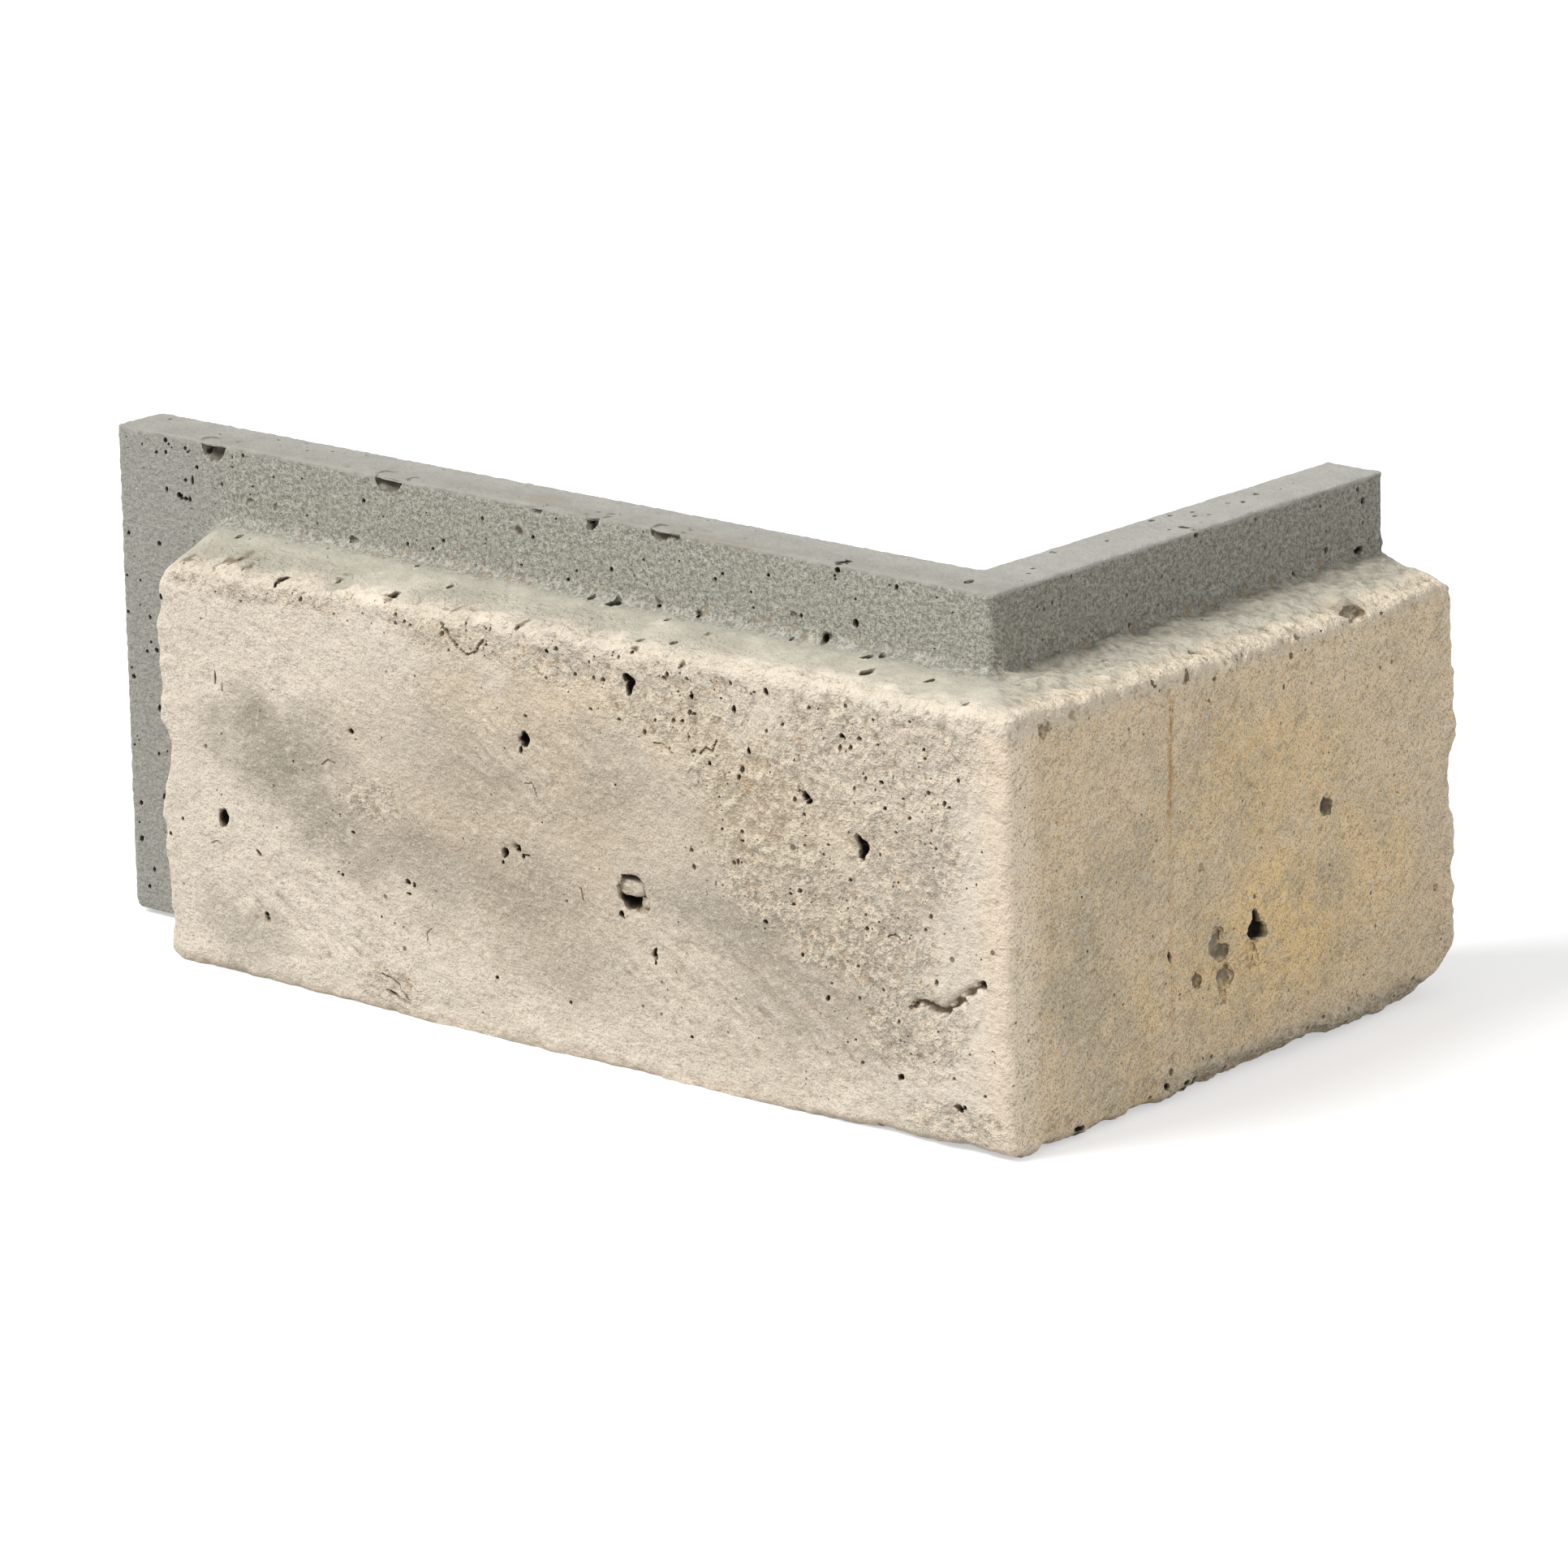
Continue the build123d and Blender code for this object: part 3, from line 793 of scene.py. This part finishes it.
concrete = bpy.data.materials.new("tinted concrete")
concrete.use_nodes = True
tree = concrete.node_tree
tree.nodes.clear()
object_place = put(tree, "ShaderNodeTexCoord", {}).outputs["Object"]
place = put(tree, "ShaderNodeVectorMath", {0: object_place, "Scale": 1 / mm}, operation="SCALE").outputs[0]
px, py, pz = put(tree, "ShaderNodeSeparateXYZ", {0: place}).outputs
void_painted_shade_here = put(tree, "ShaderNodeAttribute", {}, attribute_name="void").outputs["Fac"]
hollow_here = put(tree, "ShaderNodeAttribute", {}, attribute_name="hollow").outputs["Fac"]
rough_here = put(tree, "ShaderNodeAttribute", {}, attribute_name="crumble").outputs["Fac"]
wander = put(tree, "ShaderNodeTexNoise", {"Vector": place, "Scale": 0.09, "Detail": 4.0}).outputs["Color"]
wander = put(
    tree, "ShaderNodeVectorMath", {0: wander, 1: (0.5, 0.5, 0.5)}, operation="SUBTRACT"
).outputs[0]
wander = put(tree, "ShaderNodeVectorMath", {0: wander, "Scale": 22.0}, operation="SCALE").outputs[0]
warped = put(tree, "ShaderNodeVectorMath", {0: place, 1: wander}, operation="ADD").outputs[0]


def patches(ovals, where):
    """The soft patches (centre, reach, strength) of one tint, the strongest where they meet."""
    mask = None
    for centre, reach, strength in ovals:
        node = tree.nodes.new("ShaderNodeGroup")
        node.node_tree = soft_patch
        tree.links.new(where, node.inputs["Place"])
        node.inputs["Centre"].default_value = centre
        node.inputs["Reach"].default_value = reach
        value = maths(tree, "MULTIPLY", node.outputs["Mask"], strength)
        mask = value if mask is None else maths(tree, "MAXIMUM", mask, value)
    return mask


def scaled_by(value, factor):
    """A value times a factor."""
    return maths(tree, "MULTIPLY", value, factor)


def pits(scale, largest):
    """Small round holes, one at most in each cell of that many per millimetre."""
    cells = put(tree, "ShaderNodeTexVoronoi", {"Vector": place, "Scale": scale}).outputs
    chance = put(tree, "ShaderNodeSeparateColor", {0: cells["Color"]}).outputs[0]
    reach = scaled_by(maths(tree, "POWER", chance, 6.0), largest * scale)
    return ramp(tree, cells["Distance"], reach, scaled_by(reach, 0.6))


# The two faces, for the middles of the patches. A patch reaches far past the skin's relief.
front = -brick_front
side = brick_front

# Where this bit of skin is: how far ahead of the slab, and on which leg
ahead_long = sloped(tree, py, -1.0, -slab_front)
ahead_short = maths(tree, "SUBTRACT", px, slab_front)
ahead_here = maths(tree, "MAXIMUM", ahead_long, ahead_short)
short_side = ramp(tree, maths(tree, "SUBTRACT", ahead_short, ahead_long), -1.6, 1.6)

# Noises that the colours and the bumps share, from broad clouds down to the sand
drift = noisy(tree, place, 0.05, 3.0, 0.6)
mottle = noisy(tree, place, 0.20, 4.0, 0.65)
dapple = noisy(tree, place, 0.6, 3.0, 0.65)
grit = noisy(tree, place, 1.5, 3.0, 0.7)
fine_grit = noisy(tree, place, 3.4, 2.0, 0.6)
crumbs = noisy(tree, place, 0.8, 4.0, 0.7)
flecks = noisy(tree, place, 0.5, 4.0, 0.7)
brushed = noisy(tree, place, 1.0, 3.0, 0.65, stretch=(0.7, 0.7, 1.3))
slant = put(tree, "ShaderNodeMapping", {"Vector": place, "Rotation": (np.radians(-40), 0, 0)}).outputs[0]
slanting = noisy(tree, slant, 0.9, 3.0, 0.65, stretch=(0.5, 0.4, 1.6))
pinpricks = maths(tree, "MAXIMUM", pits(0.28, 0.55), pits(0.7, 0.22))
edge_noise = scaled_by(maths(tree, "SUBTRACT", noisy(tree, place, 0.22, 3.0, 0.5), 0.5), 9.0)
ahead_rough = maths(tree, "ADD", ahead_here, edge_noise)

# Bare slab: grey, with coarse sand showing, and painted shade on its face along the short leg
sand = maths(tree, "ADD", scaled_by(grit, 0.4), scaled_by(brushed, 0.25))
sand = ramp(tree, maths(tree, "ADD", sand, scaled_by(fine_grit, 0.35)), 0.40, 0.60)
slab_colour = colour_mix(tree, sand, (0.21, 0.205, 0.175), (0.56, 0.545, 0.47))
specks = ramp(tree, noisy(tree, place, 2.4, 2.0, 0.5), 0.42, 0.32)
slab_colour = colour_mix(tree, scaled_by(specks, 0.55), slab_colour, (0.13, 0.12, 0.10))
slab_shade = ramp(tree, mottle, 0.35, 0.7)
slab_colour = colour_mix(tree, scaled_by(slab_shade, 0.25), slab_colour, (0.30, 0.285, 0.25))
left_strip = ramp(tree, maths(tree, "ADD", px, edge_noise), -136.0, -144.0)
slab_colour = colour_mix(tree, scaled_by(left_strip, 0.45), slab_colour, (0.37, 0.355, 0.33))
wavy_height = maths(tree, "ADD", pz, scaled_by(edge_noise, 0.1))
slab_top_mask = ramp(tree, wavy_height, slab_top - 0.8, slab_top - 0.3)
top_mottle = ramp(tree, mottle, 0.3, 0.7)
slab_top_colour = colour_mix(tree, top_mottle, (0.345, 0.335, 0.295), (0.415, 0.40, 0.355))
top_stains = (
    ((-76, -6, 75), (6, 4, 8), 0.7),
    ((-62, -9.5, 75), (12, 1.2, 8), 0.4),
    ((-40, -9.5, 75), (14, 1.2, 8), 0.6),
)
top_stain = patches(top_stains, place)
slab_top_colour = colour_mix(tree, scaled_by(top_stain, 0.6), slab_top_colour, (0.30, 0.24, 0.19))
# Painted shade: the slab's face on the short leg, away from the key lamp, is darker
slab_colour = colour_mix(tree, short_side, slab_colour, (0.77, 0.765, 0.76), "MULTIPLY")
short_leg_top = scaled_by(ramp(tree, py, -9.0, 4.0), 0.27)
slab_top_colour = colour_mix(tree, short_leg_top, slab_top_colour, (0.54, 0.54, 0.51))
slab_colour = colour_mix(tree, slab_top_mask, slab_colour, slab_top_colour)

# Long face: cream, with grey clouds, warmer ground towards the middle and pale by the corner
cream = (0.79, 0.70, 0.58)
warm_ground = (
    ((-66, front, 32), (52, 60, 32), 0.9),
    ((-20, front, 30), (42, 60, 36), 0.75),
)
grey_clouds = (
    ((-114, front, 35), (19, 60, 13), 1.0),
    ((-104, front, 27), (18, 60, 8), 0.7),
    ((-88, front, 23), (24, 60, 9), 0.6),
    ((-70, front, 22), (24, 60, 8), 0.5),
    ((-122, front, 7), (14, 60, 7), 0.6),
    ((-56, front, 13), (22, 60, 8), 0.35),
    ((-27, front, 26), (22, 60, 9), 0.8),
    ((-14, front, 18), (20, 60, 14), 0.55),
    ((-22, front, 42), (14, 60, 9), 0.4),
    ((-50, front, 42), (20, 60, 8), 0.35),
    ((2, front, 20), (14, 60, 18), 0.5),
    ((-78, front, 40), (22, 60, 9), 0.35),
    ((8, front, 36), (10, 60, 14), 0.3),
)
long_ochre = (
    ((-52, front, 53), (20, 60, 8), 0.5),
    ((-32, front, 50), (22, 60, 9), 0.7),
    ((-14, front, 42), (20, 60, 10), 0.5),
    ((-78, front, 58), (10, 60, 5), 0.5),
    ((-70, front, 48), (22, 60, 8), 0.3),
)
corner_cream = ramp(tree, maths(tree, "ADD", px, scaled_by(edge_noise, 0.5)), 16.0, 23.0)
brick_long = colour_mix(tree, patches(warm_ground, warped), cream, (0.575, 0.475, 0.36))
cloudy = maths(tree, "MULTIPLY", patches(grey_clouds, warped), ramp(tree, mottle, 0.15, 0.5))
brick_long = colour_mix(tree, cloudy, brick_long, (0.315, 0.28, 0.22))
brick_long = colour_mix(tree, patches(long_ochre, warped), brick_long, (0.70, 0.54, 0.36))
brick_long = colour_mix(tree, corner_cream, brick_long, (0.86, 0.705, 0.55))

# Short face: ochre with grey clouds, yellower low in the middle, paler at the far end, with a
# pale band along the corner
yellow_patches = (
    ((side, 34, 18), (60, 28, 18), 0.9),
    ((side, 32, 42), (60, 30, 16), 0.65),
    ((side, 4, 12), (60, 8, 14), 0.4),
    ((side, 22, 17), (60, 9, 10), 0.9),
    ((side, 58, 24), (60, 18, 20), 0.5),
    ((side, 18, 40), (60, 20, 14), 0.35),
)
grey_short_clouds = (
    ((side, -8, 22), (60, 12, 22), 0.6),
    ((side, 0, 36), (60, 14, 12), 0.55),
    ((side, 18, 50), (60, 18, 8), 0.45),
    ((side, 46, 24), (60, 10, 8), 0.4),
    ((side, 20, 22), (60, 8, 7), 0.4),
    ((side, 26, 40), (60, 24, 14), 0.30),
)
pale_patches = (
    ((side, 74, 40), (60, 18, 34), 0.8),
    ((side, 62, 55), (60, 22, 10), 0.5),
)
brick_short = colour_mix(tree, patches(yellow_patches, warped), (0.85, 0.675, 0.455), (1.0, 0.70, 0.32))
grey_short = maths(tree, "MULTIPLY", patches(grey_short_clouds, warped), ramp(tree, mottle, 0.25, 0.55))
brick_short = colour_mix(tree, grey_short, brick_short, (0.44, 0.39, 0.295))
brick_short = colour_mix(tree, patches(pale_patches, warped), brick_short, (0.83, 0.68, 0.48))
grey_breaks = scaled_by(ramp(tree, noisy(tree, place, 0.13, 5.0, 0.7), 0.46, 0.68), 0.5)
brick_short = colour_mix(tree, grey_breaks, brick_short, (0.50, 0.44, 0.33))
corner_band = ramp(tree, maths(tree, "ADD", py, scaled_by(edge_noise, 0.35)), -17.0, -21.0)
brick_short = colour_mix(tree, scaled_by(corner_band, 0.9), brick_short, (0.98, 0.83, 0.65))
low_down = ramp(tree, maths(tree, "ADD", pz, scaled_by(edge_noise, 0.3)), 4.5, 2.5)
broken_foot = maths(tree, "MULTIPLY", low_down, ramp(tree, py, 4.0, 14.0))
brick_short = colour_mix(tree, scaled_by(broken_foot, 0.75), brick_short, (0.47, 0.43, 0.33))
brick_colour = colour_mix(tree, short_side, brick_long, brick_short)

# Mottling, sand and pinpricks over both faces
pale_drift = sloped(tree, short_side, -0.15, 0.25)
pale_drift = maths(tree, "MULTIPLY", ramp(tree, drift, 0.4, 0.62), pale_drift)
brick_colour = colour_mix(tree, pale_drift, brick_colour, (0.76, 0.69, 0.58))
dark_dapple = scaled_by(ramp(tree, dapple, 0.5, 0.3), 0.30)
brick_colour = colour_mix(tree, dark_dapple, brick_colour, (0.42, 0.36, 0.27))
along_grain = colour_mix(tree, short_side, brushed, slanting)
streaks = sloped(tree, short_side, 0.25, 0.45)
dark_streaks = maths(tree, "MULTIPLY", ramp(tree, along_grain, 0.48, 0.30), streaks)
brick_colour = colour_mix(tree, dark_streaks, brick_colour, (0.40, 0.34, 0.26))
pale_streaks = maths(tree, "MULTIPLY", ramp(tree, along_grain, 0.52, 0.72), streaks)
brick_colour = colour_mix(tree, pale_streaks, brick_colour, (0.86, 0.79, 0.68))
grain_depth = sloped(tree, short_side, 0.35, 0.40)
calm = maths(tree, "MULTIPLY", ramp(tree, px, -5.0, 12.0), sloped(tree, short_side, -1.0, 1.0))
grain_depth = maths(tree, "MULTIPLY", grain_depth, sloped(tree, calm, -0.45, 1.0))
dark_grain = maths(tree, "MULTIPLY", ramp(tree, fine_grit, 0.50, 0.34), grain_depth)
brick_colour = colour_mix(tree, dark_grain, brick_colour, (0.28, 0.22, 0.145))
pale_grain = maths(tree, "MULTIPLY", ramp(tree, fine_grit, 0.52, 0.66), grain_depth)
pale_sand = colour_mix(tree, short_side, (0.96, 0.86, 0.70), (0.98, 0.80, 0.52))
brick_colour = colour_mix(tree, scaled_by(pale_grain, 0.6), brick_colour, pale_sand)

# Crumbly patches: pale crumbs with a painted highlight on their tops, thin crevices between them darkened
# as painted shade, and rusty flecks
crumb_noise = maths(tree, "ADD", scaled_by(mottle, 1.5), scaled_by(dapple, 0.7))
crumb_noise = maths(tree, "SUBTRACT", crumb_noise, 1.1)
crumbly = ramp(tree, maths(tree, "ADD", rough_here, crumb_noise), 0.15, 1.05)
thin_crevice_shade = ramp(tree, maths(tree, "ABSOLUTE", maths(tree, "SUBTRACT", crumbs, 0.5)), 0.030, 0.008)
thin_crevice_shade = maths(tree, "MULTIPLY", thin_crevice_shade, ramp(tree, grit, 0.50, 0.58))
crevice_shade = maths(tree, "MAXIMUM", ramp(tree, crumbs, 0.40, 0.31), thin_crevice_shade)
crevice_shade = maths(tree, "MULTIPLY", crumbly, crevice_shade)
crumb_tops_and_highlight = maths(tree, "MULTIPLY", crumbly, ramp(tree, crumbs, 0.45, 0.58))
rusty = maths(tree, "MULTIPLY", crumbly, ramp(tree, flecks, 0.58, 0.68))
# Pale crumbs, lightened further as a painted highlight on their tops
brick_colour = colour_mix(tree, scaled_by(crumb_tops_and_highlight, 0.70), brick_colour, (0.95, 0.82, 0.64))
brick_colour = colour_mix(tree, scaled_by(rusty, 0.50), brick_colour, (0.62, 0.38, 0.19))
# Painted shade in the crevices
brick_colour = colour_mix(tree, scaled_by(crevice_shade, 0.60), brick_colour, (0.25, 0.18, 0.11))
ochre_specks = ramp(tree, noisy(tree, place, 1.1, 3.0, 0.6), 0.58, 0.70)
ochre_specks = maths(tree, "MULTIPLY", short_side, ochre_specks)
brick_colour = colour_mix(tree, scaled_by(ochre_specks, 0.6), brick_colour, (0.76, 0.45, 0.17))
brick_colour = colour_mix(tree, scaled_by(pinpricks, 0.8), brick_colour, (0.16, 0.11, 0.065))

# Rusty line down the short face, and a thin brown rim along the long face's foot
rust_line_place = 11.0
line_wander = scaled_by(maths(tree, "SUBTRACT", mottle, 0.5), 2.0)
from_line = maths(tree, "SUBTRACT", maths(tree, "ADD", py, line_wander), rust_line_place)
from_line = maths(tree, "ABSOLUTE", from_line)
faint_below = scaled_by(ramp(tree, pz, 8.0, 12.0), 0.35)
line_fade = maths(tree, "ADD", ramp(tree, pz, 40.0, 42.0), faint_below, clamp=True)
line_fade = maths(tree, "MULTIPLY", line_fade, ramp(tree, pz, 59.0, 57.0))
rust_line = maths(tree, "MULTIPLY", ramp(tree, from_line, 0.9, 0.25), line_fade)
line_breaks = maths(tree, "MULTIPLY", short_side, ramp(tree, grit, 0.36, 0.54))
rust_line = maths(tree, "MULTIPLY", rust_line, line_breaks)
brick_colour = colour_mix(tree, scaled_by(rust_line, 0.8), brick_colour, (0.52, 0.28, 0.09))
foot_rim = ramp(tree, maths(tree, "ADD", pz, scaled_by(edge_noise, 0.15)), 1.1, 0.3)
brick_colour = colour_mix(tree, scaled_by(foot_rim, 0.2), brick_colour, (0.60, 0.42, 0.30))

# The shoulder turns from the slab's grey to the face's cream
shoulder_grey = colour_mix(tree, ramp(tree, mottle, 0.35, 0.65), (0.48, 0.45, 0.365), (0.61, 0.57, 0.47))
short_shoulder = colour_mix(tree, ramp(tree, dapple, 0.36, 0.56), (0.385, 0.36, 0.29), (0.545, 0.51, 0.42))
at_root = ramp(tree, ahead_rough, 7.0, 1.5)
shoulder_grey = colour_mix(tree, scaled_by(at_root, 0.6), shoulder_grey, (0.38, 0.37, 0.305))
shoulder_grey = colour_mix(tree, short_side, shoulder_grey, short_shoulder)
up_on_top = ramp(tree, pz, brick_top - 4.0, brick_top - 1.5)
shoulder_cream = maths(tree, "MULTIPLY", up_on_top, ramp(tree, ahead_rough, 9.0, 12.0))
brick_colour = colour_mix(tree, scaled_by(shoulder_cream, 0.5), brick_colour, (0.92, 0.82, 0.67))
tint_mask = ramp(tree, ahead_rough, 8.0, 13.5)
ahead_soft = maths(tree, "ADD", ahead_here, scaled_by(edge_noise, 0.3))
smooth_mask = ramp(tree, ahead_soft, 0.6, 3.4)
body_colour = colour_mix(tree, smooth_mask, slab_colour, shoulder_grey)
body_colour = colour_mix(tree, tint_mask, body_colour, brick_colour)

# Hollows hold dirt and painted shade, high spots are rubbed pale and carry a painted highlight, and voids
# get painted shade, brown at the rim and black inside
# Dirt and painted shade in hollows
dirt_and_painted_shade = ramp(tree, hollow_here, 0.02, 0.14)
body_colour = colour_mix(tree, scaled_by(dirt_and_painted_shade, 0.6), body_colour, (0.30, 0.22, 0.13))
# Wear and a painted highlight on high spots
wear_and_painted_highlight = maths(tree, "MULTIPLY", ramp(tree, hollow_here, -0.02, -0.12), smooth_mask)
body_colour = colour_mix(tree, scaled_by(wear_and_painted_highlight, 0.4), body_colour, (0.82, 0.75, 0.63))
# Painted shade in voids: brown-grey where shallow, near black where deep
void_rim_painted_shade = colour_mix(tree, smooth_mask, (0.15, 0.13, 0.10), (0.25, 0.195, 0.13))
void_rim_painted_shade = colour_mix(tree, scaled_by(short_side, 0.6), void_rim_painted_shade, (0.30, 0.27, 0.20))
void_painted_shade_colour = colour_mix(tree, ramp(tree, void_painted_shade_here, 0.3, 0.9), void_rim_painted_shade, (0.018, 0.014, 0.010))
body_colour = colour_mix(tree, ramp(tree, void_painted_shade_here, 0.0, 0.4), body_colour, void_painted_shade_colour)

# The finest relief, in millimetres: sand on the slab, and grain, crumbs and pinpricks on the
# brick
slab_bump = maths(tree, "ADD", scaled_by(grit, 0.35), scaled_by(brushed, 0.15))
slab_bump = maths(tree, "SUBTRACT", slab_bump, 0.25)
slab_bump = maths(tree, "MULTIPLY", slab_bump, sloped(tree, smooth_mask, -1.0, 1.0))
brick_bump = maths(tree, "ADD", scaled_by(along_grain, 0.20), scaled_by(fine_grit, 0.14))
brick_bump = maths(tree, "ADD", brick_bump, scaled_by(dapple, 0.40))
slant_bump = maths(tree, "MULTIPLY", short_side, maths(tree, "SUBTRACT", slanting, 0.5))
brick_bump = maths(tree, "ADD", brick_bump, scaled_by(slant_bump, 0.35))
brick_bump = maths(tree, "ADD", brick_bump, scaled_by(mottle, 0.7))
crumb_bump = maths(tree, "MULTIPLY", crumbly, scaled_by(maths(tree, "SUBTRACT", crumbs, 0.5), 1.2))
brick_bump = maths(tree, "ADD", maths(tree, "SUBTRACT", brick_bump, 0.72), crumb_bump)
brick_bump = maths(tree, "SUBTRACT", brick_bump, scaled_by(pinpricks, 0.25))
both_bump = maths(tree, "ADD", slab_bump, maths(tree, "MULTIPLY", brick_bump, smooth_mask))
bump = put(tree, "ShaderNodeBump", {"Strength": 1.0, "Distance": mm, "Height": both_bump})
surface = put(
    tree,
    "ShaderNodeBsdfPrincipled",
    {"Base Color": body_colour, "Roughness": 0.92, "Specular IOR Level": 0.25, "Normal": bump.outputs[0]},
)
put(tree, "ShaderNodeOutputMaterial", {"Surface": surface.outputs[0]})
slip.data.materials.clear()
slip.data.materials.append(concrete)
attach(slip, "root")
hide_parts("brick_slip_corner")

# Floor of white paper, which keeps the slip's shadow. The camera sees it glow a little, so that
# it is white wherever no shadow falls.
bpy.ops.object.select_all(action="DESELECT")
bpy.ops.mesh.primitive_plane_add(size=12, location=(0, 0, foot_level * mm))
floor = bpy.context.object
floor.name = "floor"
paper = bpy.data.materials.new("white paper")
paper.use_nodes = True
paper_tree = paper.node_tree
paper_tree.nodes.clear()


def seen_directly(tree):
    """1 for what the camera sees, also in gloss or through glass, 0 for light on the slip."""
    ray = put(tree, "ShaderNodeLightPath", {}).outputs
    seen = maths(tree, "MAXIMUM", ray["Is Camera Ray"], ray["Is Glossy Ray"])
    return maths(tree, "MAXIMUM", seen, ray["Is Transmission Ray"])


paper_seen = seen_directly(paper_tree)
paper_colour = colour_mix(paper_tree, paper_seen, (0.5, 0.5, 0.5), (0.6, 0.6, 0.6))
paper_surface = put(paper_tree, "ShaderNodeBsdfDiffuse", {"Color": paper_colour}).outputs[0]
paper_strength = maths(paper_tree, "MULTIPLY", paper_seen, 0.5)
paper_glow = put(paper_tree, "ShaderNodeEmission", {"Strength": paper_strength}).outputs[0]
paper_both = put(paper_tree, "ShaderNodeAddShader", {0: paper_surface, 1: paper_glow})
put(paper_tree, "ShaderNodeOutputMaterial", {"Surface": paper_both.outputs[0]})
floor.data.materials.append(paper)

# White room round the floor, dimmer as a light than as a background
room = bpy.data.worlds.new("white room")
bpy.context.scene.world = room
room.use_nodes = True
room_tree = room.node_tree
room_tree.nodes.clear()
room_level = 0.52
room_strength = sloped(room_tree, seen_directly(room_tree), 1 - room_level, room_level)
room_light = put(
    room_tree, "ShaderNodeBackground", {"Color": (1, 1, 1, 1), "Strength": room_strength}
)
put(room_tree, "ShaderNodeOutputWorld", {"Surface": room_light.outputs[0]})


# Two soft lamps: one from the upper left, and a weak one from the right
def lamp(name, toward, strength, spread):
    """A soft lamp a long way off: the way its light comes from, its level and its width."""
    data = bpy.data.lights.new(name, "SUN")
    data.energy = strength * np.pi
    data.angle = np.radians(spread)
    piece = bpy.data.objects.new(name, data)
    bpy.context.scene.collection.objects.link(piece)
    piece.matrix_world = Vector(toward).to_track_quat("Z", "Y").to_matrix().to_4x4()


lamp("key", (-0.25, -0.44, 0.62), 0.80, 25)
lamp("fill", (1.0, -0.1, 0.35), 0.20, 60)
